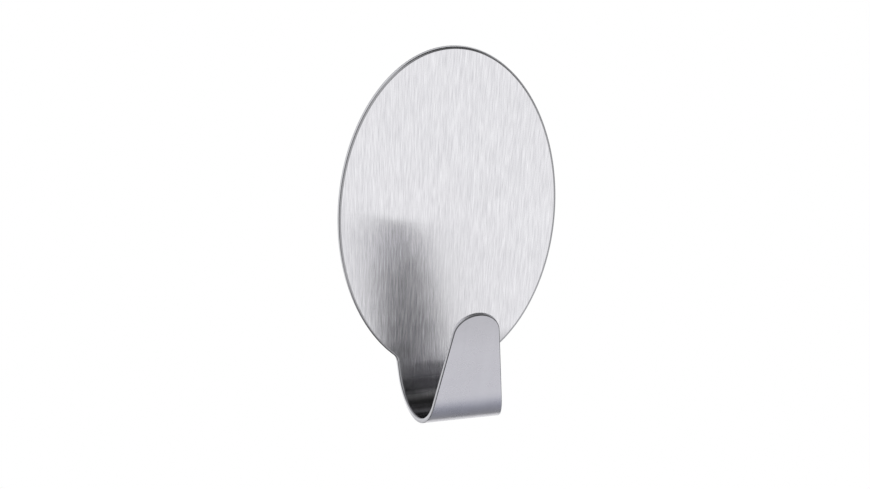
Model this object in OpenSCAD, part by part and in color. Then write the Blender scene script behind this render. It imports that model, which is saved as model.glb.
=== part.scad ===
// Adhesive wall hook: an oval plate and a hook tongue pressed from one steel sheet, on a foam pad with a
// release liner. The liner's outer face lies in the plane Y = 0, +Z is up and the hook points to -Y.
// The origin is behind the middle of the oval. All lengths are in millimetres.

/* [Oval plate] */
// Width of the oval plate
plate_w = 50; // [40:0.5:60]
// Height of the oval plate, without the tongue
plate_h = 75; // [60:0.5:100]
// Thickness of the steel sheet
sheet_t = 1.2; // [0.8:0.1:2]

/* [Hook tongue] */
// Width of the tongue where the bend starts
tongue_w = 21.75; // [19:0.25:26]
// Slope of each side of the tongue, in degrees
tongue_taper = 7.65; // [5:0.05:9]
// Radius of the fillets between the tongue and the oval
neck_r = 2.5; // [1:0.1:6]
// Inner radius of the bend
bend_r = 7.25; // [4:0.25:10]
// Outward lean of the front leg, in degrees
leg_lean = 17.2; // [5:0.1:30]
// Length of the front leg, from the bend to the end of the round tip
leg_len = 24.2; // [18:0.1:30]

/* [Adhesive pad] */
// Distance from the edge of the plate to the edge of the pad
pad_inset = 2; // [1:0.25:6]
// Thickness of the foam carrier
foam_t = 0.84; // [0.4:0.02:2]
// Thickness of each coat of adhesive
glue_t = 0.08; // [0.05:0.01:0.2]
// Thickness of the release liner
liner_t = 0.1; // [0.05:0.01:0.3]

/* [Hidden] */
$fn = 160;

// Front faces of the layers, from the wall forwards
liner_y = -liner_t;
wall_glue_y = liner_y - glue_t;
foam_y = wall_glue_y - foam_t;
plate_glue_y = foam_y - glue_t;
plate_y = plate_glue_y - sheet_t;

// The bend's axis runs along X, level with the lowest point of the oval
bend_y = plate_y - bend_r;
bend_z = -plate_h / 2;
bend_sweep = 180 - leg_lean;
bend_len = (bend_r + sheet_t / 2) * bend_sweep * PI / 180;

// Half the tongue's width at a length s along the middle of the sheet, from the start of the bend
slope = tan(tongue_taper);
function half_w(s) = tongue_w / 2 - slope * s;

// Full-round tip that touches both sides of the tongue
tip_r = half_w(bend_len + leg_len) / (1 / cos(tongue_taper) - slope);
tip_v = leg_len - tip_r;

// The neck's fillet touches the oval at an angle below its widest point, and the side of the tongue
function oval_point(a) = [plate_w / 2 * cos(a), -plate_h / 2 * sin(a)];
function oval_normal(a) = let (n = [cos(a) / plate_w, -sin(a) / plate_h]) n / norm(n);
function fillet_centre(a) = oval_point(a) + neck_r * oval_normal(a);
function fillet_gap(c) = (c.x - half_w(bend_z - c.y)) * cos(tongue_taper) - neck_r;
function neck_angle(low, high, rounds) =
    let (mid = (low + high) / 2)
    rounds == 0 ? mid
    : fillet_gap(fillet_centre(mid)) > 0 ? neck_angle(mid, high, rounds - 1)
    : neck_angle(low, mid, rounds - 1);
bisect_rounds = 40;
neck_a = neck_angle(0, 90, bisect_rounds);
neck_c = fillet_centre(neck_a);
neck_top = oval_point(neck_a);
neck_foot = neck_c - neck_r * [cos(tongue_taper), -sin(tongue_taper)];
// The fillets cut this far past the points where they touch, so that their ends cross the edges
neck_bite = 0.01;

// Facets round the bend, and on each half of the round tip
bend_steps = 48;
tip_steps = 24;

// Flat shapes, drawn upright
module oval(w, h) {
    scale([w / 2, h / 2])
    circle(r = 1);
}

module neck_outline() {
    difference() {
        polygon([
            [-neck_top.x, neck_top.y],
            [-neck_c.x, neck_c.y],
            [-neck_foot.x, neck_foot.y],
            [neck_foot.x, neck_foot.y],
            [neck_c.x, neck_c.y],
            [neck_top.x, neck_top.y]
        ]);
        for (side = [-1, 1])
            translate([side * neck_c.x, neck_c.y])
            circle(r = neck_r + neck_bite);
    }
}

module back_leg_outline() {
    root_w = half_w(bend_z - neck_top.y);
    polygon([
        [-root_w, neck_top.y],
        [-tongue_w / 2, bend_z],
        [tongue_w / 2, bend_z],
        [root_w, neck_top.y]
    ]);
}

// A flat sheet with its front face in the plane Y = front
module upright_sheet(front, thickness) {
    translate([0, front + thickness, 0])
    rotate([90, 0, 0])
    linear_extrude(thickness)
    children();
}

// Bend and front leg, a strip that narrows steadily from the start of the bend to the round tip
module bent_tongue() {
    tip_step = (90 - tongue_taper) / tip_steps;
    // Half width, angle round the bend and length along the front leg
    stations = [
        for (i = [0 : bend_steps])
        [half_w(i / bend_steps * bend_len), i / bend_steps * bend_sweep, 0],
        for (i = [0 : tip_steps - 1])
        let (a = tongue_taper + i * tip_step)
        [tip_r * cos(a), bend_sweep, tip_v + tip_r * sin(a)]
    ];
    function place(x, r, a, v) = [x, r * cos(a) - v * sin(a), -r * sin(a) - v * cos(a)];
    outer_r = bend_r + sheet_t;
    points = [
        for (st = stations)
        for (corner = [[st[0], bend_r], [st[0], outer_r], [-st[0], outer_r], [-st[0], bend_r]])
        place(corner[0], corner[1], st[1], st[2]),
        place(0, bend_r, bend_sweep, leg_len),
        place(0, outer_r, bend_sweep, leg_len)
    ];
    last = 4 * (len(stations) - 1);
    tip = last + 4;
    start_faces = [[0, 2, 1], [0, 3, 2]];
    strip_faces = [
        for (i = [0 : len(stations) - 2])
        for (j = [0 : 3])
        let (p = 4 * i + j, q = 4 * i + (j + 1) % 4)
        for (face = [[p, q, q + 4], [p, q + 4, p + 4]])
        face
    ];
    tip_faces = [
        [last, last + 1, tip + 1],
        [last, tip + 1, tip],
        [last + 1, last + 2, tip + 1],
        [last + 2, last + 3, tip],
        [last + 2, tip, tip + 1],
        [last + 3, last, tip]
    ];
    polyhedron(points = points, faces = concat(start_faces, strip_faces, tip_faces));
}

// An oval layer of the pad, cut out of a flat sheet by a punch that goes right through it
module pad_layer(front, thickness) {
    intersection() {
        translate([-plate_w / 2, front, -plate_h / 2])
        cube([plate_w, thickness, plate_h]);
        upright_sheet(plate_y, -2 * plate_y)
        oval(plate_w - 2 * pad_inset, plate_h - 2 * pad_inset);
    }
}

// Plate and hook tongue, pressed from one sheet of brushed stainless steel
module hook_plate() {
    color([0.86, 0.86, 0.88])
    union() {
        upright_sheet(plate_y, sheet_t) {
            oval(plate_w, plate_h);
            neck_outline();
            back_leg_outline();
        }
        translate([0, bend_y, bend_z])
        bent_tongue();
    }
}

// Coat of adhesive between the steel and the foam
module plate_adhesive() {
    color([0.92, 0.91, 0.86])
    pad_layer(plate_glue_y, glue_t);
}

// Foam carrier of the double-sided pad
module foam_pad() {
    color([0.95, 0.95, 0.94])
    pad_layer(foam_y, foam_t);
}

// Coat of adhesive that goes on the wall
module wall_adhesive() {
    color([0.92, 0.91, 0.86])
    pad_layer(wall_glue_y, glue_t);
}

// Siliconised paper that covers the wall adhesive until the hook is put up
module release_liner() {
    color([0.93, 0.9, 0.8])
    pad_layer(liner_y, liner_t);
}

hook_plate();
plate_adhesive();
foam_pad();
wall_adhesive();
release_liner();
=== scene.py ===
import math

import bpy
from mathutils import Matrix, Vector, noise


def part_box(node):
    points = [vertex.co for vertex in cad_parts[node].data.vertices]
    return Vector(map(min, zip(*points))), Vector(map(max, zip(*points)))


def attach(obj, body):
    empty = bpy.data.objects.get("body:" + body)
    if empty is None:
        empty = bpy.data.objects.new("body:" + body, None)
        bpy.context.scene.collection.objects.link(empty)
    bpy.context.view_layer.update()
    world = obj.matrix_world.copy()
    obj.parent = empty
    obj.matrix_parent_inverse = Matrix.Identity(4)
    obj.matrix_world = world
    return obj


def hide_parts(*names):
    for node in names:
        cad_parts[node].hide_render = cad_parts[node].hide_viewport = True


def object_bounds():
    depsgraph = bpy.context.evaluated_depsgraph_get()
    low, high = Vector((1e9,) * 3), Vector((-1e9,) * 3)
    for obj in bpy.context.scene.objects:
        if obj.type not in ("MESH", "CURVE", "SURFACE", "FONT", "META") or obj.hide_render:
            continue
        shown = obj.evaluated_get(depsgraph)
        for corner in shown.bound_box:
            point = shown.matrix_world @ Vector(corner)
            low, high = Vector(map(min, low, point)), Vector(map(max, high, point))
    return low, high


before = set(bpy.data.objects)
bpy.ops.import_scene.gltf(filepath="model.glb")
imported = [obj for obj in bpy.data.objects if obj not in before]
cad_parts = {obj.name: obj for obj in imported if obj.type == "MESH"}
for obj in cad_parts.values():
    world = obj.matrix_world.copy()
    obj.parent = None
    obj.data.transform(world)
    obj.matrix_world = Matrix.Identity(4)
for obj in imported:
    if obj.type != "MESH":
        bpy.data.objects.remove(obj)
cadLow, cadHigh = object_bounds()
mm = 0.001
scene = bpy.context.scene
print("frame loaded:", ", ".join(sorted(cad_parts)))


# node helpers

def addNode(tree, kind, inputs=None, **settings):
    node = tree.nodes.new(kind)
    for name, value in settings.items():
        setattr(node, name, value)
    for name, value in (inputs or {}).items():
        node.inputs[name].default_value = value
    return node


def wire(tree, source, target):
    tree.links.new(source, target)


def newMaterial(name):
    material = bpy.data.materials.new(name)
    material.use_nodes = True
    tree = material.node_tree
    tree.nodes.clear()
    shader = addNode(tree, "ShaderNodeBsdfPrincipled")
    output = addNode(tree, "ShaderNodeOutputMaterial")
    wire(tree, shader.outputs["BSDF"], output.inputs["Surface"])
    return material, tree, shader


def newGroup(name, inputs, outputs):
    tree = bpy.data.node_groups.new(name, "ShaderNodeTree")
    for label, kind, value in inputs:
        socket = tree.interface.new_socket(label, in_out="INPUT", socket_type=kind)
        if value is not None:
            socket.default_value = value
    for label, kind in outputs:
        tree.interface.new_socket(label, in_out="OUTPUT", socket_type=kind)
    entry = addNode(tree, "NodeGroupInput")
    leave = addNode(tree, "NodeGroupOutput")
    return tree, entry, leave


def useGroup(tree, group, values, vector, socket):
    node = addNode(tree, "ShaderNodeGroup", values, node_tree=group)
    wire(tree, vector, node.inputs[socket])
    return node


def mathNode(tree, operation, first, second=None):
    node = addNode(tree, "ShaderNodeMath", operation=operation)
    for slot, value in enumerate((first, second)):
        if value is None:
            continue
        if isinstance(value, (int, float)):
            node.inputs[slot].default_value = value
        else:
            wire(tree, value, node.inputs[slot])
    return node.outputs[0]


def weighted(tree, parts):
    total = None
    for value, share in parts:
        part = mathNode(tree, "MULTIPLY", value, share)
        total = part if total is None else mathNode(tree, "ADD", total, part)
    return total


# noise about zero instead of about a half
def centred(tree, value, times):
    return mathNode(tree, "MULTIPLY", mathNode(tree, "SUBTRACT", value, 0.5), times)


def splitAxes(tree, vector):
    node = addNode(tree, "ShaderNodeSeparateXYZ")
    wire(tree, vector, node.inputs[0])
    return node.outputs


def mixColours(tree, mask, low, high):
    node = addNode(tree, "ShaderNodeMix", data_type="RGBA")
    wire(tree, mask, node.inputs[0])
    for slot, colour in ((6, low), (7, high)):
        if isinstance(colour, tuple):
            node.inputs[slot].default_value = (*colour, 1)
        else:
            wire(tree, colour, node.inputs[slot])
    return node.outputs[2]


def spread(tree, value, low, high, fromLow=0.0, fromHigh=1.0):
    node = addNode(tree, "ShaderNodeMapRange", {
        "From Min": fromLow, "From Max": fromHigh, "To Min": low, "To Max": high})
    wire(tree, value, node.inputs["Value"])
    return node.outputs["Result"]


# shades, grey or coloured, at given lengths along one axis
def shadesAlong(tree, length, shades):
    first, last = shades[0][0], shades[-1][0]
    ramp = addNode(tree, "ShaderNodeValToRGB")
    stops = ramp.color_ramp.elements
    while len(stops) < len(shades):
        stops.new(0.5)
    for stop, (at, shade) in zip(stops, shades):
        stop.position = (at - first) / (last - first)
        stop.color = (*(shade if isinstance(shade, tuple) else (shade,) * 3), 1)
    wire(tree, spread(tree, length, 0.0, 1.0, first, last), ramp.inputs["Fac"])
    return ramp.outputs["Color"]


def timesTones(tree, colour, tones):
    node = addNode(tree, "ShaderNodeVectorMath", operation="MULTIPLY")
    wire(tree, colour, node.inputs[0])
    wire(tree, tones, node.inputs[1])
    return node.outputs[0]


def addBump(tree, height, depth, shader):
    bump = addNode(tree, "ShaderNodeBump", {"Strength": 1.0, "Distance": depth * mm})
    wire(tree, height, bump.inputs["Height"])
    wire(tree, bump.outputs[0], shader.inputs["Normal"])


# camera, fitted to the outline of the oval and the hook
photoCamera = {
    "imageWidth": 870,
    "imageHeight": 489,
    "turn": -18.10,          # degrees, to the left of the plate's own axis
    "lift": 19.27,           # degrees above the horizon
    "roll": 0.469,
    "distance": 2162.0,      # mm from the middle of the plate's face
    "pixelsPerMm": 4.5610,   # at that distance
    "plateMiddle": (447.75, 209.50),   # pixel that the middle of the plate's face is on
    "sensorWidth": 36.0,
    "clip": (0.1, 50.0),     # metres
}


def placeCamera(look, target):
    turn, lift, roll = (math.radians(look[k]) for k in ("turn", "lift", "roll"))
    toCamera = Vector((math.sin(turn) * math.cos(lift), -math.cos(turn) * math.cos(lift), math.sin(lift)))
    location = target + toCamera * look["distance"] * mm
    right = (-toCamera).cross(Vector((0, 0, 1))).normalized()
    up = right.cross(-toCamera)
    right, up = math.cos(roll) * right + math.sin(roll) * up, math.cos(roll) * up - math.sin(roll) * right
    offX = look["plateMiddle"][0] - look["imageWidth"] / 2
    offY = look["plateMiddle"][1] - look["imageHeight"] / 2
    aim = target + (-offX * right + offY * up) * mm / look["pixelsPerMm"]
    back = (location - aim).normalized()
    right = (right - right.dot(back) * back).normalized()
    up = back.cross(right)
    data = bpy.data.cameras.new("photoCamera")
    data.sensor_width = look["sensorWidth"]
    data.lens = look["pixelsPerMm"] * look["distance"] * data.sensor_width / look["imageWidth"]
    data.clip_start, data.clip_end = look["clip"]
    camera = bpy.data.objects.new("photoCamera", data)
    camera.matrix_world = Matrix((
        (right.x, up.x, back.x, location.x),
        (right.y, up.y, back.y, location.y),
        (right.z, up.z, back.z, location.z),
        (0, 0, 0, 1),
    ))
    scene.collection.objects.link(camera)
    scene.camera = camera


# steel sheet: sizes as in the CAD source, in mm and degrees, then what only the looks need
hookSheet = {
    "thickness": 1.2,
    "tongueWidth": 21.75,
    "taper": 7.65,
    "neckRadius": 2.5,
    "bendRadius": 7.25,
    "legLean": 17.2,
    "legLength": 24.2,
    "rollWidth": 0.50,         # edge rolled over by the punch, on the brushed side
    "rollDepth": 0.34,
    "backRound": 0.16,
    "leanRight": 0.093,        # slight lean of the face's lower left, which shifts what it mirrors
    "leanDown": 0.120,
    "leanAcross": (12.0, 0.0),       # x and z where that lean starts and where it is full
    "leanHeight": (12.0, 0.0),
    "leanRightFoot": (-38.0, -32.0),
    "leanDownFoot": (-31.0, -17.0),
    "millEase": 2.6,           # length over which the mill side's shading eases into the bend
    "easeSteps": 6,
    "tongueFrom": -2.8,        # along the sheet, where the tongue's cut edge starts
    "bisections": 50,
    "columns": 24,
    "ovalRows": 150,
    "filletRows": 14,
    "neckRows": 5,
    "bendRows": 72,
    "legRows": 16,
    "tipRows": 28,
    "rollSteps": 7,
    "roundSteps": 5,
}
plateHalfWidth = cadHigh.x / mm
plateHalfHeight = cadHigh.z / mm
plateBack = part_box("plate_adhesive")[0][1] / mm
plateFront = plateBack - hookSheet["thickness"]
bendY = plateFront - hookSheet["bendRadius"]
bendZ = -plateHalfHeight
bendSweep = math.radians(180 - hookSheet["legLean"])
midRadius = hookSheet["bendRadius"] + hookSheet["thickness"] / 2
bendLength = midRadius * bendSweep
taper = math.radians(hookSheet["taper"])

placeCamera(photoCamera, Vector((0, plateFront * mm, 0)))
print("camera placed")


# s is the length down the middle of the sheet, from the start of the bend
def halfWidth(s):
    return hookSheet["tongueWidth"] / 2 - math.tan(taper) * s


def ovalPoint(a):
    return Vector((plateHalfWidth * math.cos(a), -plateHalfHeight * math.sin(a)))


def ovalNormal(a):
    return Vector((math.cos(a) / plateHalfWidth, -math.sin(a) / plateHalfHeight)).normalized()


def neckFillet(sizes):
    radius = sizes["neckRadius"]
    low, high = 0.0, math.pi / 2
    for _ in range(sizes["bisections"]):
        a = (low + high) / 2
        centre = ovalPoint(a) + radius * ovalNormal(a)
        gap = (centre.x - halfWidth(bendZ - centre.y)) * math.cos(taper) - radius
        low, high = (a, high) if gap > 0 else (low, a)
    return a, centre


# right half of the flat blank, from the top of the oval to the tip: x, s and the outward normal
def blankOutline(sizes):
    rows = []
    angle, centre = neckFillet(sizes)
    for i in range(sizes["ovalRows"]):
        a = -math.pi / 2 + (angle + math.pi / 2) * i / sizes["ovalRows"]
        point, out = ovalPoint(a), ovalNormal(a)
        rows.append((point.x, bendZ - point.y, out.x, -out.y))
    first = ovalPoint(angle) - centre
    start = math.atan2(first.y, first.x)
    end = math.pi - taper
    for i in range(sizes["filletRows"] + 1):
        a = start + (end - start) * i / sizes["filletRows"]
        out = -Vector((math.cos(a), math.sin(a)))
        point = centre - sizes["neckRadius"] * out
        rows.append((point.x, bendZ - point.y, out.x, -out.y))
    foot = rows[-1][1]
    tipRadius = halfWidth(bendLength + sizes["legLength"]) / (1 / math.cos(taper) - math.tan(taper))
    tipStart = bendLength + sizes["legLength"] - tipRadius
    straight = tipStart + tipRadius * math.sin(taper) - bendLength
    stops = [foot * (1 - i / sizes["neckRows"]) for i in range(1, sizes["neckRows"] + 1)]
    stops += [bendLength * i / sizes["bendRows"] for i in range(1, sizes["bendRows"] + 1)]
    stops += [bendLength + straight * i / sizes["legRows"] for i in range(1, sizes["legRows"])]
    rows += [(halfWidth(s), s, math.cos(taper), math.sin(taper)) for s in stops]
    for i in range(sizes["tipRows"] + 1):
        a = taper + (math.pi / 2 - taper) * i / sizes["tipRows"]
        rows.append((tipRadius * math.cos(a), tipStart + tipRadius * math.sin(a), math.cos(a), math.sin(a)))
    return rows


# angle round the bend and length past its end
def turnAt(s):
    if s <= 0:
        return 0.0, s
    if s <= bendLength:
        return s / midRadius, 0.0
    return bendSweep, s - bendLength


def placeOnSheet(x, s, depth):
    a, past = turnAt(s)
    r = hookSheet["bendRadius"] + depth
    y = bendY + r * math.cos(a) - past * math.sin(a)
    z = bendZ - r * math.sin(a) - past * math.cos(a)
    return Vector((x, y, z)) * mm


# on the mill side the shading eases into the bend and out of it
def easedTurn(sizes, s):
    steps = sizes["easeSteps"]
    turns = [turnAt(s + sizes["millEase"] * k / steps)[0] for k in range(-steps, steps + 1)]
    return sum(turns) / len(turns)


def directOnSheet(alongX, alongS, alongDepth, a):
    y = -alongS * math.sin(a) + alongDepth * math.cos(a)
    z = -alongS * math.cos(a) - alongDepth * math.sin(a)
    return Vector((alongX, y, z)).normalized()


def smoothRise(value, start, full):
    t = min(max((value - start) / (full - start), 0.0), 1.0)
    return t * t * (3 - 2 * t)


# lean of the brushed face at a point of the plate, along x and s
# there is none on the right, on the upper half and on the tongue
def faceLean(sizes, x, s):
    z = bendZ - s
    share = smoothRise(z, *sizes["leanHeight"]) * smoothRise(x, *sizes["leanAcross"])
    right = share * smoothRise(z, *sizes["leanRightFoot"])
    down = share * smoothRise(z, *sizes["leanDownFoot"])
    return sizes["leanRight"] * right, sizes["leanDown"] * down


# inset from the cut edge, depth from the brushed face, and how the normal turns from face to edge to back
def edgeProfile(sizes):
    width, depth, t = sizes["rollWidth"], sizes["rollDepth"], sizes["thickness"]
    back = sizes["backRound"]
    profile = []
    for i in range(sizes["rollSteps"] + 1):
        a = math.pi / 2 * i / sizes["rollSteps"]
        out = Vector((math.sin(a) / width, -math.cos(a) / depth)).normalized()
        profile.append((width * (1 - math.sin(a)), depth * (1 - math.cos(a)), out.x, out.y))
    for i in range(sizes["roundSteps"] + 1):
        a = math.pi / 2 * i / sizes["roundSteps"]
        profile.append((back * (1 - math.cos(a)), t - back * (1 - math.sin(a)), math.cos(a), math.sin(a)))
    return profile


# material slots: 0 brushed side, 1 mill side, 2 edge of the oval, 3 edge of the tongue
def buildHookSheet(sizes):
    rows = blankOutline(sizes)
    profile = edgeProfile(sizes)
    points, normals, faces, slots, corners = [], [], [], [], []
    columns = sizes["columns"]
    last = len(rows) - 1

    def addPoint(x, s, depth, normal):
        points.append(placeOnSheet(x, s, depth))
        onMillSide = normal[2] == 1
        a = easedTurn(sizes, s) if onMillSide else turnAt(s)[0]
        normals.append(directOnSheet(*normal, a))
        return len(points) - 1

    def addFace(face, places, slot):
        faces.append(face)
        slots.append(slot)
        corners.extend(places)

    # one side of the sheet as a grid, from its left edge to its right
    def addSide(inset, depth, toward, slot):
        grid = []
        for i, (x, s, nx, ns) in enumerate(rows):
            w, row = x - inset * nx, s - inset * ns
            count = 0 if i in (0, last) else columns
            line = []
            for k in range(count + 1):
                px = w * (2 * k / count - 1) if count else 0.0
                tilt = faceLean(sizes, px, row) if toward < 0 else (0.0, 0.0)
                line.append((addPoint(px, row, depth, (*tilt, toward)), (px, -row)))
            grid.append(line)
        for above, below in zip(grid, grid[1:]):
            for k in range(columns):
                quad = [above[min(k, len(above) - 1)], above[min(k + 1, len(above) - 1)],
                        below[min(k + 1, len(below) - 1)], below[min(k, len(below) - 1)]]
                quad = list(dict.fromkeys(quad))
                if toward < 0:
                    quad.reverse()
                addFace([corner[0] for corner in quad], [corner[1] for corner in quad], slot)
        right = [line[-1][0] for line in grid]
        left = [line[0][0] for line in grid]
        return right + left[-2:0:-1]

    # the cut edge as loops round the outline
    around = rows + [(-x, s, -nx, ns) for x, s, nx, ns in rows[-2:0:-1]]
    lengths = [0.0]
    for p, q in zip(around, around[1:] + around[:1]):
        lengths.append(lengths[-1] + math.hypot(q[0] - p[0], q[1] - p[1]))
    loops = [addSide(profile[0][0], profile[0][1], -1, 0)]
    for inset, depth, out, through in profile[1:-1]:
        loops.append([addPoint(x - inset * nx, s - inset * ns, depth, (out * nx, out * ns, through))
                      for x, s, nx, ns in around])
    loops.append(addSide(profile[-1][0], profile[-1][1], 1, 1))
    for i in range(len(loops) - 1):
        upper, lower = loops[i], loops[i + 1]
        top, low = profile[i][1], profile[i + 1][1]
        for j in range(len(around)):
            k = (j + 1) % len(around)
            a, b = lengths[j], lengths[j + 1]
            slot = 2 if max(around[j][1], around[k][1]) < sizes["tongueFrom"] else 3
            places = [(a, top), (b, top), (b, low), (a, low)]
            addFace([upper[j], upper[k], lower[k], lower[j]], places, slot)

    mesh = bpy.data.meshes.new("hookSheet")
    mesh.from_pydata(points, [], faces)
    layer = mesh.uv_layers.new(name="flatSheet")   # millimetres of the flat blank
    for loop, place in zip(mesh.loops, corners):
        layer.data[loop.index].uv = place
    mesh.polygons.foreach_set("material_index", slots)
    mesh.polygons.foreach_set("use_smooth", [True] * len(faces))
    mesh.normals_split_custom_set_from_vertices(normals)
    piece = bpy.data.objects.new("hookSheet", mesh)
    scene.collection.objects.link(piece)
    return piece


hookPiece = buildHookSheet(hookSheet)
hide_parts("hook_plate")
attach(hookPiece, "hook")
print("steel sheet:", len(hookPiece.data.polygons), "faces")


# layers of the pad: inset of the side from the CAD outline, at equal steps through the layer,
# and its unevenness, in mm
padLayers = {
    "plateGlue": {"node": "plate_adhesive", "slot": "adhesive", "body": "hook",
                  "side": (0.10, 0.02, 0.06, 0.14), "uneven": 0.10, "seed": 3.0},
    "foamPad": {"node": "foam_pad", "slot": "foam", "body": "hook",
                "side": (0.10, 0.06, 0.10, 0.15, 0.17, 0.16, 0.12, 0.06, 0.09),
                "uneven": 0.05, "seed": 11.0},
    "wallGlue": {"node": "wall_adhesive", "slot": "adhesive", "body": "hook",
                 "side": (0.14, 0.05, 0.02, 0.10), "uneven": 0.10, "seed": 19.0},
    "releaseLiner": {"node": "release_liner", "slot": "liner_paper", "body": "liner",
                     "side": (0.02, 0.0, 0.0, 0.02), "uneven": 0.0, "seed": 29.0},
}
# noise round the cut edge of each layer, coarse and fine, and the angle that counts as a sharp edge
padEdge = {
    "coarse": 9,
    "fine": 45,
    "fineDrift": 3,
    "fineShare": 0.7,
    "sharpFrom": 50,
}
ringShares = (0.0, 0.12, 0.25, 0.4, 0.55, 0.7, 0.82, 0.91, 0.97)
ringCount = 256


# slots: 0 side towards the steel, 1 side towards the wall, 2 edge
def buildPadLayer(name, look):
    low, high = (Vector(corner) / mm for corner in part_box(look["node"]))
    halfW, halfH = high.x, high.z
    points, faces, slots = [], [], []

    def edgeInset(k, depth):
        a = 2 * math.pi * k / ringCount

        def noiseRound(radius, height):
            return noise.noise(Vector((radius * math.cos(a), radius * math.sin(a), height)))

        coarse = noiseRound(padEdge["coarse"], look["seed"])
        fine = noiseRound(padEdge["fine"], look["seed"] + padEdge["fineDrift"] * depth)
        wander = max(-1.0, min(1.0, coarse + padEdge["fineShare"] * fine))
        return look["uneven"] * (0.5 + 0.5 * wander)

    def addRing(share, inset, depth):
        y = low.y + depth * (high.y - low.y)
        if share == 0.0:
            points.append(Vector((0, y, 0)) * mm)
            return [len(points) - 1] * ringCount
        ring = []
        for k in range(ringCount):
            a = 2 * math.pi * k / ringCount
            shrink = inset + edgeInset(k, depth) if share == 1.0 else 0.0
            x, z = share * halfW * math.cos(a), share * halfH * math.sin(a)
            out = Vector((math.cos(a) / halfW, math.sin(a) / halfH)).normalized()
            points.append(Vector((x - shrink * out.x, y, z - shrink * out.y)) * mm)
            ring.append(len(points) - 1)
        return ring

    rings = [(addRing(share, 0.0, 0.0), 0) for share in ringShares]
    steps = len(look["side"]) - 1
    for i, inset in enumerate(look["side"]):
        rings.append((addRing(1.0, inset, i / steps), 0 if i == 0 else 2))
    for share in reversed(ringShares):
        rings.append((addRing(share, 0.0, 1.0), 1))
    for (inner, _), (outer, slot) in zip(rings, rings[1:]):
        for k in range(ringCount):
            j = (k + 1) % ringCount
            face = list(dict.fromkeys([inner[k], inner[j], outer[j], outer[k]]))
            faces.append(face)
            slots.append(slot)
    mesh = bpy.data.meshes.new(name)
    mesh.from_pydata(points, [], faces)
    mesh.polygons.foreach_set("material_index", slots)
    mesh.polygons.foreach_set("use_smooth", [True] * len(faces))
    mesh.set_sharp_from_angle(angle=math.radians(padEdge["sharpFrom"]))
    piece = bpy.data.objects.new(name, mesh)
    scene.collection.objects.link(piece)
    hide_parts(look["node"])
    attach(piece, look["body"])
    return piece


padPieces = {name: buildPadLayer(name, look) for name, look in padLayers.items()}
print("pad layers:", ", ".join(padPieces))


# sets of lines: width and length times the group's own, and a shift that keeps the sets apart
lineSets = {
    "Lines": (1.0, 1.0, 0.0),
    "Streaks": (2.0, 1.9, 7.3),
    "Bands": (25.0, 6.0, 3.1),
}
lineGrain = {"Scale": 1.0, "Detail": 1.0, "Roughness": 0.55}
lineDrift = {"Scale": 0.045, "Detail": 1.0}


# fine lines that run down the sheet, in the millimetres of its flat blank
def buildBrushLines():
    tree, entry, leave = newGroup(
        "brushLines",
        [("Flat", "NodeSocketVector", None), ("Line Width", "NodeSocketFloat", 0.25),
         ("Line Length", "NodeSocketFloat", 9.0), ("Sway", "NodeSocketFloat", 0.6),
         ("Lean", "NodeSocketFloat", 0.0), ("Fan", "NodeSocketFloat", 0.0)],
        [(label, "NodeSocketFloat") for label in lineSets],
    )
    axes = splitAxes(tree, entry.outputs["Flat"])
    drift = addNode(tree, "ShaderNodeTexNoise", lineDrift, noise_dimensions="2D")
    wire(tree, entry.outputs["Flat"], drift.inputs["Vector"])
    offset = centred(tree, drift.outputs["Fac"], entry.outputs["Sway"])
    fan = mathNode(tree, "MULTIPLY", axes["X"], entry.outputs["Fan"])
    lean = mathNode(tree, "MULTIPLY", mathNode(tree, "ADD", entry.outputs["Lean"], fan), axes["Y"])
    across = mathNode(tree, "ADD", mathNode(tree, "SUBTRACT", axes["X"], lean), offset)
    for label, (widthTimes, lengthTimes, shift) in lineSets.items():
        width = mathNode(tree, "MULTIPLY", entry.outputs["Line Width"], widthTimes)
        length = mathNode(tree, "MULTIPLY", entry.outputs["Line Length"], lengthTimes)
        where = addNode(tree, "ShaderNodeCombineXYZ", {"Z": shift})
        wire(tree, mathNode(tree, "DIVIDE", across, width), where.inputs["X"])
        wire(tree, mathNode(tree, "DIVIDE", axes["Y"], length), where.inputs["Y"])
        grain = addNode(tree, "ShaderNodeTexNoise", lineGrain)
        wire(tree, where.outputs[0], grain.inputs["Vector"])
        wire(tree, grain.outputs["Fac"], leave.inputs[label])
    return tree


# marks: the socket that sets their size, then detail and roughness of the noise
mottleSets = {
    "Clouds": ("Cloud Size", 4.0, 0.6),
    "Specks": ("Speck Size", 2.0, 0.5),
}


# soft clouds and small specks, sizes in millimetres
def buildMottle():
    tree, entry, leave = newGroup(
        "mottle",
        [("Place", "NodeSocketVector", None), ("Cloud Size", "NodeSocketFloat", 6.0),
         ("Speck Size", "NodeSocketFloat", 0.5)],
        [(label, "NodeSocketFloat") for label in mottleSets],
    )
    for label, (size, detail, roughness) in mottleSets.items():
        where = addNode(tree, "ShaderNodeVectorMath", operation="SCALE")
        wire(tree, entry.outputs["Place"], where.inputs[0])
        wire(tree, mathNode(tree, "DIVIDE", 1.0, entry.outputs[size]), where.inputs["Scale"])
        marks = addNode(tree, "ShaderNodeTexNoise", {
            "Scale": 1.0, "Detail": detail, "Roughness": roughness})
        wire(tree, where.outputs[0], marks.inputs["Vector"])
        wire(tree, marks.outputs["Fac"], leave.inputs[label])
    return tree


brushLines = buildBrushLines()
mottle = buildMottle()


# object coordinates in millimetres
def placeInMm(tree):
    place = addNode(tree, "ShaderNodeTexCoord")
    scale = addNode(tree, "ShaderNodeVectorMath", {"Scale": 1 / mm}, operation="SCALE")
    wire(tree, place.outputs["Object"], scale.inputs[0])
    return scale.outputs[0]


def useMottle(tree, look, place):
    sizes = {"Cloud Size": look["cloudSize"], "Speck Size": look["speckSize"]}
    return useGroup(tree, mottle, sizes, place, "Place").outputs


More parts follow.
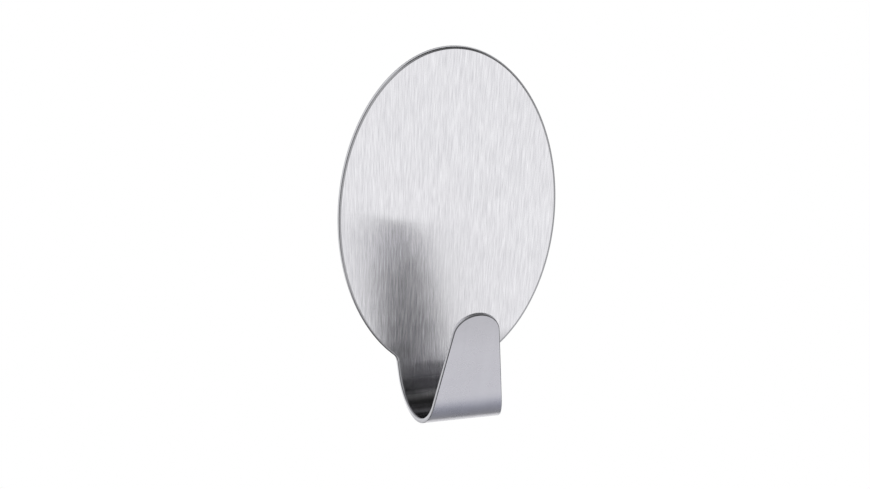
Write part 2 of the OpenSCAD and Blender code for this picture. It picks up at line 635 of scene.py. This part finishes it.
brushedFace = {
    "dark": (0.633, 0.628, 0.658),
    "light": (0.918, 0.913, 0.943),
    # painted shade inside the bend, darkest a few mm in: mm from the start of the bend; the die that bends
    # the tongue also leaves its finish smoother
    "bendPaintedShade": ((-2.0, 1.0), (1.0, 0.70), (4.2, 0.50), (5.3, 0.30), (9.0, 0.30), (16.0, 0.75),
                  (21.0, 0.75), (24.5, 0.62), (33.0, 0.62), (42.0, 0.92)),
    "bentRagged": 5.0,       # mm by which single lines shift those tones
    "bow": 0.042,            # they start sooner beside the tongue's edges than in its middle
    "bowMiddle": 6.85,       # mm from the middle where they start on time, and where the bow ends
    "bowReach": 10.5,
    "bowEnds": (4.0, 8.0),
    # painted shade in the corners of the neck
    "neckCornerPaintedShade": ((-8.6, 1.0), (-6.6, 0.80), (-5.0, 0.70), (-3.4, 0.84), (3.0, 0.88), (6.0, 1.0)),
    "cornerAcross": (4.5, 10.0),
    "bentSmooth": 0.6,
    "smoothFrom": (-2.0, 3.0),
    "smoothTo": (30.0, 44.0),
    "smoothLeft": 0.2,       # share of the smoothness that is left at the tip
    "lineShare": 0.6,
    "streakShare": 0.4,
    "lineWidth": 0.15,
    "lineLength": 3.9,
    "sway": 0.7,
    "lean": 0.035,           # the lines lean a little, more so towards the right
    "fan": 0.0018,
    "contrast": (0.29, 0.71),
    "roughness": (0.171, 0.227),
    "anisotropy": 0.95,
    "grooveDepth": 0.008,    # mm
}


def makeBrushedFace(look):
    material, tree, shader = newMaterial("brushedFace")
    flat = addNode(tree, "ShaderNodeUVMap", uv_map="flatSheet")
    lines = useGroup(tree, brushLines, {
        "Line Width": look["lineWidth"], "Line Length": look["lineLength"], "Sway": look["sway"],
        "Lean": look["lean"], "Fan": look["fan"]}, flat.outputs[0], "Flat")
    tone = weighted(tree, ((lines.outputs["Lines"], look["lineShare"]),
                           (lines.outputs["Streaks"], look["streakShare"])))
    tone = spread(tree, tone, 0.0, 1.0, *look["contrast"])
    base = mixColours(tree, tone, look["dark"], look["light"])
    axes = splitAxes(tree, flat.outputs[0])
    along = mathNode(tree, "MULTIPLY", axes["Y"], -1.0)
    ragged = mathNode(tree, "ADD", along, centred(tree, lines.outputs["Lines"], look["bentRagged"]))
    side = mathNode(tree, "ABSOLUTE", axes["X"])
    bow = mathNode(tree, "POWER", mathNode(tree, "MINIMUM", side, look["bowReach"]), 2.0)
    bow = mathNode(tree, "MULTIPLY", mathNode(tree, "SUBTRACT", bow, look["bowMiddle"] ** 2), look["bow"])
    bow = mathNode(tree, "MULTIPLY", bow, spread(tree, along, 1.0, 0.0, *look["bowEnds"]))
    # painted shade inside the bend, with ragged ends and a bow across the tongue
    bendPaintedShade = shadesAlong(tree, mathNode(tree, "ADD", ragged, bow), look["bendPaintedShade"])
    # painted shade in the corners of the neck, towards the tongue's edges
    corner = spread(tree, side, 0.0, 1.0, *look["cornerAcross"])
    neckCornerPaintedShade = mixColours(tree, corner, (1.0, 1.0, 1.0), shadesAlong(tree, ragged, look["neckCornerPaintedShade"]))
    base = timesTones(tree, timesTones(tree, base, bendPaintedShade), neckCornerPaintedShade)
    wire(tree, base, shader.inputs["Base Color"])
    bent = mathNode(tree, "MULTIPLY", spread(tree, along, 0.0, 1.0, *look["smoothFrom"]),
                    spread(tree, along, 1.0, look["smoothLeft"], *look["smoothTo"]))
    smooth = spread(tree, bent, 1.0, look["bentSmooth"])
    rough = mathNode(tree, "MULTIPLY", spread(tree, tone, *look["roughness"]), smooth)
    wire(tree, rough, shader.inputs["Roughness"])
    height = mathNode(tree, "ADD", lines.outputs["Lines"], lines.outputs["Streaks"])
    addBump(tree, height, look["grooveDepth"], shader)
    across = addNode(tree, "ShaderNodeTangent", direction_type="UV_MAP", uv_map="flatSheet")
    wire(tree, across.outputs[0], shader.inputs["Tangent"])
    shader.inputs["Metallic"].default_value = 1.0
    shader.inputs["Anisotropic"].default_value = look["anisotropy"]
    return material


millFace = {
    "dark": (0.524, 0.517, 0.553),
    "light": (0.675, 0.668, 0.708),
    # a little darker towards the tip: mm from the start of the bend
    "legTones": ((24.0, 1.0), (28.0, 0.985), (33.0, 0.97), (38.0, 0.955), (41.0, 0.905), (44.5, 0.86)),
    "cloudSize": 5.0,
    "speckSize": 0.35,
    "roughness": (0.235, 0.315),
    "lineWidth": 0.5,
    "lineLength": 30.0,
    "sway": 0.4,
    "cloudShare": 0.6,
    "streakShare": 0.25,
    "speckShare": 0.15,
    "pitDepth": 0.0006,
}


# rolled side of the sheet, left as the mill made it
def makeMillFace(look):
    material, tree, shader = newMaterial("millFace")
    flat = addNode(tree, "ShaderNodeUVMap", uv_map="flatSheet")
    marks = useMottle(tree, look, placeInMm(tree))
    lines = useGroup(tree, brushLines, {
        "Line Width": look["lineWidth"], "Line Length": look["lineLength"], "Sway": look["sway"]},
        flat.outputs[0], "Flat")
    tone = weighted(tree, ((marks["Clouds"], look["cloudShare"]),
                           (lines.outputs["Streaks"], look["streakShare"]),
                           (marks["Specks"], look["speckShare"])))
    along = mathNode(tree, "MULTIPLY", splitAxes(tree, flat.outputs[0])["Y"], -1.0)
    legTones = shadesAlong(tree, along, look["legTones"])
    base = timesTones(tree, mixColours(tree, tone, look["dark"], look["light"]), legTones)
    wire(tree, base, shader.inputs["Base Color"])
    wire(tree, spread(tree, marks["Clouds"], *look["roughness"]), shader.inputs["Roughness"])
    addBump(tree, marks["Specks"], look["pitDepth"], shader)
    shader.inputs["Metallic"].default_value = 1.0
    return material


# what the cut edges of the oval and of the tongue share, in mm
cutEdge = {
    "waver": 0.12,
    "roughness": (0.24, 0.50),
    "dragWidth": 0.10,        # lines that the punch drags across the edge
    "dragLength": 1.6,
    "dragSway": 0.2,
    "dragShare": 0.35,
    "dragMiddle": 0.17,
    "dragDepth": 0.004,
}
# tones, and lines by their depth from the brushed side and where they fade, along Y, in mm
ovalEdge = {
    **cutEdge,
    "bright": (0.59, 0.59, 0.62),     # zone that the punch polishes
    "torn": (0.52, 0.52, 0.55),       # zone that breaks away
    "lines": (((0.36, 0.36, 0.375), (0.34, 0.24), None),),   # where the punch rolls the edge over
    "tornFrom": (0.62, 0.82),
}
tongueEdge = {
    **cutEdge,
    "bright": (0.55, 0.55, 0.58),
    "torn": (0.60, 0.60, 0.63),
    # first line: painted shade on the tongue's rolled edge, beside the dark inside of the bend
    "lines": (((0.28, 0.28, 0.295), (0.34, 0.22), None),
              ((0.88, 0.88, 0.90), (0.40, 0.60), (-4.0, -9.0)),      # painted highlight beside the plate
              ((0.15, 0.15, 0.16), (0.90, 1.02), (-19.5, -14.5))),   # burr on the front leg
    "tornFrom": (0.40, 0.75),
}


def makeCutEdge(name, look):
    material, tree, shader = newMaterial(name)
    flat = addNode(tree, "ShaderNodeUVMap", uv_map="flatSheet")
    lines = useGroup(tree, brushLines, {
        "Line Width": look["dragWidth"], "Line Length": look["dragLength"], "Sway": look["dragSway"]},
        flat.outputs[0], "Flat")
    depth = splitAxes(tree, flat.outputs[0])["Y"]
    wavering = mathNode(tree, "ADD", depth, centred(tree, lines.outputs["Bands"], 2 * look["waver"]))
    torn = spread(tree, wavering, 0.0, 1.0, *look["tornFrom"])
    drag = mathNode(tree, "MULTIPLY", lines.outputs["Lines"], look["dragShare"])
    tone = mathNode(tree, "ADD", torn, mathNode(tree, "SUBTRACT", drag, look["dragMiddle"]))
    base = mixColours(tree, tone, look["bright"], look["torn"])
    for colour, depths, front in look["lines"]:
        line = spread(tree, depth, 0.0, 1.0, *depths)
        if front:
            toFront = splitAxes(tree, placeInMm(tree))["Y"]
            line = mathNode(tree, "MULTIPLY", line, spread(tree, toFront, 1.0, 0.0, *front))
        base = mixColours(tree, line, base, colour)
    wire(tree, base, shader.inputs["Base Color"])
    wire(tree, spread(tree, torn, *look["roughness"]), shader.inputs["Roughness"])
    addBump(tree, lines.outputs["Lines"], look["dragDepth"], shader)
    shader.inputs["Metallic"].default_value = 1.0
    return material


steelFinishes = (
    makeBrushedFace(brushedFace),
    makeMillFace(millFace),
    makeCutEdge("ovalEdge", ovalEdge),
    makeCutEdge("tongueEdge", tongueEdge),
)
for material in steelFinishes:
    hookPiece.data.materials.append(material)


glueFilm = {
    "clear": (0.80, 0.79, 0.73),
    "cloudy": (0.90, 0.895, 0.86),
    "bubble": (0.66, 0.65, 0.60),
    "cloudSize": 9.0,
    "speckSize": 1.6,
    "bubbleSize": 1.1,        # mm between trapped bubbles
    "bubbleEdge": (0.10, 0.22),
    "bubbleShare": 0.6,
    "bubbleHeight": 0.5,
    "roughness": (0.12, 0.28),
    "waveDepth": 0.03,
}


# acrylic film, glossy, with small bubbles under it
def makeGlueFilm(look):
    material, tree, shader = newMaterial("glueFilm")
    place = placeInMm(tree)
    marks = useMottle(tree, look, place)
    cells = addNode(tree, "ShaderNodeTexVoronoi", {"Scale": 1.0 / look["bubbleSize"]})
    wire(tree, place, cells.inputs["Vector"])
    bubbles = spread(tree, cells.outputs["Distance"], 1.0, 0.0, *look["bubbleEdge"])
    base = mixColours(tree, marks["Clouds"], look["clear"], look["cloudy"])
    shown = mathNode(tree, "MULTIPLY", bubbles, look["bubbleShare"])
    wire(tree, mixColours(tree, shown, base, look["bubble"]), shader.inputs["Base Color"])
    wire(tree, spread(tree, marks["Specks"], *look["roughness"]), shader.inputs["Roughness"])
    raised = mathNode(tree, "MULTIPLY", bubbles, look["bubbleHeight"])
    height = mathNode(tree, "ADD", marks["Specks"], raised)
    addBump(tree, height, look["waveDepth"], shader)
    return material


whiteFoam = {
    "wall": (0.88, 0.88, 0.87),
    "poreShade": (0.68, 0.68, 0.67),
    "cellSize": 0.22,
    "cellRandom": 0.9,
    "poreEdge": (0.15, 0.55),
    "poreShare": (0.35, 0.9),
    "cloudSize": 4.0,
    "speckSize": 0.6,
    "roughness": (0.72, 0.92),
    "cellDepth": 0.05,
}


def makeWhiteFoam(look):
    material, tree, shader = newMaterial("whiteFoam")
    place = placeInMm(tree)
    marks = useMottle(tree, look, place)
    cells = addNode(tree, "ShaderNodeTexVoronoi", {
        "Scale": 1.0 / look["cellSize"], "Randomness": look["cellRandom"]})
    wire(tree, place, cells.inputs["Vector"])
    pores = spread(tree, cells.outputs["Distance"], 1.0, 0.0, *look["poreEdge"])
    share = mathNode(tree, "MULTIPLY", pores, spread(tree, marks["Clouds"], *look["poreShare"]))
    # the pores are painted darker: painted shade in the foam's hollow cells
    wire(tree, mixColours(tree, share, look["wall"], look["poreShade"]), shader.inputs["Base Color"])
    wire(tree, spread(tree, marks["Specks"], *look["roughness"]), shader.inputs["Roughness"])
    addBump(tree, mathNode(tree, "SUBTRACT", 1.0, pores), look["cellDepth"], shader)
    return material


linerPaper = {
    "pale": (0.85, 0.805, 0.68),
    "deep": (0.76, 0.705, 0.565),
    "fibre": (0.92, 0.895, 0.80),
    "cloudSize": 3.0,
    "speckSize": 0.25,
    "cloudEdge": (0.3, 0.7),
    "fibreLaid": ((0.35, 0.0), (-0.7, 40.0), (1.45, 90.0)),   # turn and shift of each set of fibres
    "fibreWidth": 0.10,
    "fibreLength": 1.8,
    "fibreSway": 5.0,
    "fibreEdge": (0.60, 0.72),
    "fibreShare": 0.55,
    "fibreHeight": 0.08,
    "outerRoughness": (0.48, 0.66),
    "coatedRoughness": (0.16, 0.26),   # silicone side
    "creaseDepth": 0.05,
}


def makeLinerPaper(name, look, roughness):
    material, tree, shader = newMaterial(name)
    place = placeInMm(tree)
    marks = useMottle(tree, look, place)
    # sets of fibres, laid across each other
    fibres = None
    for turn, shift in look["fibreLaid"]:
        laid = addNode(tree, "ShaderNodeMapping", {"Location": (shift, 0, 0), "Rotation": (0, turn, 0)})
        wire(tree, place, laid.inputs["Vector"])
        axes = splitAxes(tree, laid.outputs[0])
        flat = addNode(tree, "ShaderNodeCombineXYZ")
        wire(tree, axes["X"], flat.inputs["X"])
        wire(tree, axes["Z"], flat.inputs["Y"])
        lines = useGroup(tree, brushLines, {
            "Line Width": look["fibreWidth"], "Line Length": look["fibreLength"],
            "Sway": look["fibreSway"]}, flat.outputs[0], "Flat")
        single = spread(tree, lines.outputs["Lines"], 0.0, 1.0, *look["fibreEdge"])
        fibres = single if fibres is None else mathNode(tree, "MAXIMUM", fibres, single)
    clouds = spread(tree, marks["Clouds"], 0.0, 1.0, *look["cloudEdge"])
    base = mixColours(tree, clouds, look["pale"], look["deep"])
    shown = mathNode(tree, "MULTIPLY", fibres, look["fibreShare"])
    wire(tree, mixColours(tree, shown, base, look["fibre"]), shader.inputs["Base Color"])
    wire(tree, spread(tree, marks["Clouds"], *roughness), shader.inputs["Roughness"])
    raised = mathNode(tree, "MULTIPLY", fibres, look["fibreHeight"])
    height = mathNode(tree, "ADD", marks["Clouds"], raised)
    addBump(tree, height, look["creaseDepth"], shader)
    return material


glue = makeGlueFilm(glueFilm)
foam = makeWhiteFoam(whiteFoam)
paperOuter = makeLinerPaper("linerOuter", linerPaper, linerPaper["outerRoughness"])
paperCoated = makeLinerPaper("linerCoated", linerPaper, linerPaper["coatedRoughness"])
padFinishes = {
    "plateGlue": (glue, glue, glue),
    "foamPad": (foam, foam, foam),
    "wallGlue": (glue, glue, glue),
    "releaseLiner": (paperCoated, paperOuter, paperOuter),
}
for name, finishes in padFinishes.items():
    for material in finishes:
        padPieces[name].data.materials.append(material)
print("materials:", len(bpy.data.materials))


# studio
studio = {
    "floorDrop": 250.0,
    "floorRadius": 450.0,
    "floorFade": 250.0,       # where the floor starts to melt into the white
    "floorPoints": 96,
    "floorColour": (0.88, 0.88, 0.88),
    "fill": 0.7,
}
# soft lamps: place, size in mm, watts
lamps = {
    "keyLamp": {"place": (-700, -900, 900), "size": 700, "power": 9.0},
    "backLamp": {"place": (700, 1000, 800), "size": 700, "power": 9.0},
}
# boards that only reflections see: middle, size, facing, and one shade or shades along an axis
boards = {
    "frontTop": {"middle": (520, -800, 337), "size": (960, 326), "facing": (0, 1, 0), "along": "Z",
                 "shades": ((174, 0.32), (390, 0.24), (500, 0.11))},
    "frontRight": {"middle": (520, -800, 37), "size": (960, 274), "facing": (0, 1, 0), "shade": 0.05},
    "leftWall": {"middle": (-500, -125, 0), "size": (650, 700), "facing": (1, 0, 0), "along": "Y",
                 "shades": ((-450, 0.34), (10, 0.34), (80, 0.62), (200, 1.0))},
    "rightWall": {"middle": (600, -90, 0), "size": (650, 700), "facing": (-1, 0, 0), "shade": 0.85},
    "lowLeft": {"middle": (-95, -15, -150), "size": (150, 190), "facing": (0, 0, 1), "shade": 0.04},
    # lowCard is painted shade: a dark, slightly bluish card on the floor beneath the hook, darker further
    # back, which stands for the shade there
    "lowCard": {"middle": (75, -45, -235), "size": (190, 270), "facing": (0, 0, 1), "along": "Y",
                "shades": ((-180, 1.0), (-165, 0.98), (-150, 0.88), (-138, (0.745, 0.755, 0.79)),
                           (-122, (0.595, 0.61, 0.67)), (-97, (0.40, 0.415, 0.475)),
                           (-70, (0.295, 0.305, 0.35)), (90, 0.26))},
    "ceiling": {"middle": (200, -25, 500), "size": (1000, 1550), "facing": (0, 0, -1), "along": "Y",
                "shades": ((-800, 0.17), (-620, 0.20), (-540, 0.28), (-440, 0.34), (-300, 0.33),
                           (-235, 0.24), (-170, 0.16), (-120, 0.09), (5, 0.07), (35, 0.35),
                           (150, 0.38), (300, 0.34), (750, 0.34))},
}


def makeDull(name, colour=(0.5, 0.5, 0.5)):
    material, tree, shader = newMaterial(name)
    shader.inputs["Base Color"].default_value = (*colour, 1)
    shader.inputs["Roughness"].default_value = 1.0
    shader.inputs["Specular IOR Level"].default_value = 0.0
    return material, tree, shader


def makeGraded(name, axis, shades):
    material, tree, shader = makeDull(name)
    place = addNode(tree, "ShaderNodeNewGeometry")
    length = mathNode(tree, "DIVIDE", splitAxes(tree, place.outputs["Position"])[axis], mm)
    wire(tree, shadesAlong(tree, length, shades), shader.inputs["Base Color"])
    return material


def addBoard(name, look):
    w, h = (0.5 * size * mm for size in look["size"])
    mesh = bpy.data.meshes.new(name)
    mesh.from_pydata([(-w, -h, 0), (w, -h, 0), (w, h, 0), (-w, h, 0)], [], [(0, 1, 2, 3)])
    if "shades" in look:
        mesh.materials.append(makeGraded(name, look["along"], look["shades"]))
    else:
        mesh.materials.append(makeDull(name, (look["shade"],) * 3)[0])
    board = bpy.data.objects.new(name, mesh)
    turn = Vector(look["facing"]).to_track_quat("Z", "Y")
    board.matrix_world = Matrix.LocRotScale(Vector(look["middle"]) * mm, turn, None)
    scene.collection.objects.link(board)
    for ray in ("camera", "diffuse", "transmission", "volume_scatter", "shadow"):
        setattr(board, "visible_" + ray, False)


def addFloor(look):
    r = look["floorRadius"] * mm
    count = look["floorPoints"]
    turns = [2 * math.pi * k / count for k in range(count)]
    ring = [(r * math.cos(a), r * math.sin(a), 0) for a in turns]
    mesh = bpy.data.meshes.new("floor")
    mesh.from_pydata(ring, [], [list(range(count))])
    material, tree, shader = makeDull("floor", look["floorColour"])
    place = addNode(tree, "ShaderNodeTexCoord")
    reach = addNode(tree, "ShaderNodeVectorMath", operation="LENGTH")
    wire(tree, place.outputs["Object"], reach.inputs[0])
    fade = spread(tree, reach.outputs["Value"], 1.0, 0.0, look["floorFade"] * mm, r)
    wire(tree, fade, shader.inputs["Alpha"])
    mesh.materials.append(material)
    floor = bpy.data.objects.new("floor", mesh)
    floor.location = (0, 0, -look["floorDrop"] * mm)
    scene.collection.objects.link(floor)


def addLamp(name, look):
    data = bpy.data.lights.new(name, "AREA")
    data.size = look["size"] * mm
    data.energy = look["power"]
    lamp = bpy.data.objects.new(name, data)
    lamp.location = Vector(look["place"]) * mm
    lamp.rotation_euler = (-lamp.location).to_track_quat("-Z", "Y").to_euler()
    lamp.visible_camera = False
    lamp.visible_glossy = False
    scene.collection.objects.link(lamp)


def buildWorld(look):
    world = bpy.data.worlds.new("studio")
    scene.world = world
    world.use_nodes = True
    tree = world.node_tree
    tree.nodes.clear()
    rays = addNode(tree, "ShaderNodeLightPath")
    shown = mathNode(tree, "MAXIMUM", rays.outputs["Is Camera Ray"], rays.outputs["Is Glossy Ray"])
    shown = mathNode(tree, "MAXIMUM", shown, rays.outputs["Is Transmission Ray"])
    white = addNode(tree, "ShaderNodeBackground", {"Color": (1, 1, 1, 1), "Strength": 1.0})
    fill = addNode(tree, "ShaderNodeBackground", {"Color": (1, 1, 1, 1), "Strength": look["fill"]})
    both = addNode(tree, "ShaderNodeMixShader")
    wire(tree, shown, both.inputs[0])
    wire(tree, fill.outputs[0], both.inputs[1])
    wire(tree, white.outputs[0], both.inputs[2])
    output = addNode(tree, "ShaderNodeOutputWorld")
    wire(tree, both.outputs[0], output.inputs["Surface"])


buildWorld(studio)
addFloor(studio)
for name, look in lamps.items():
    addLamp(name, look)
for name, look in boards.items():
    addBoard(name, look)
scene.view_settings.view_transform = "Standard"
print("studio:", len(lamps), "lamps,", len(boards), "boards")
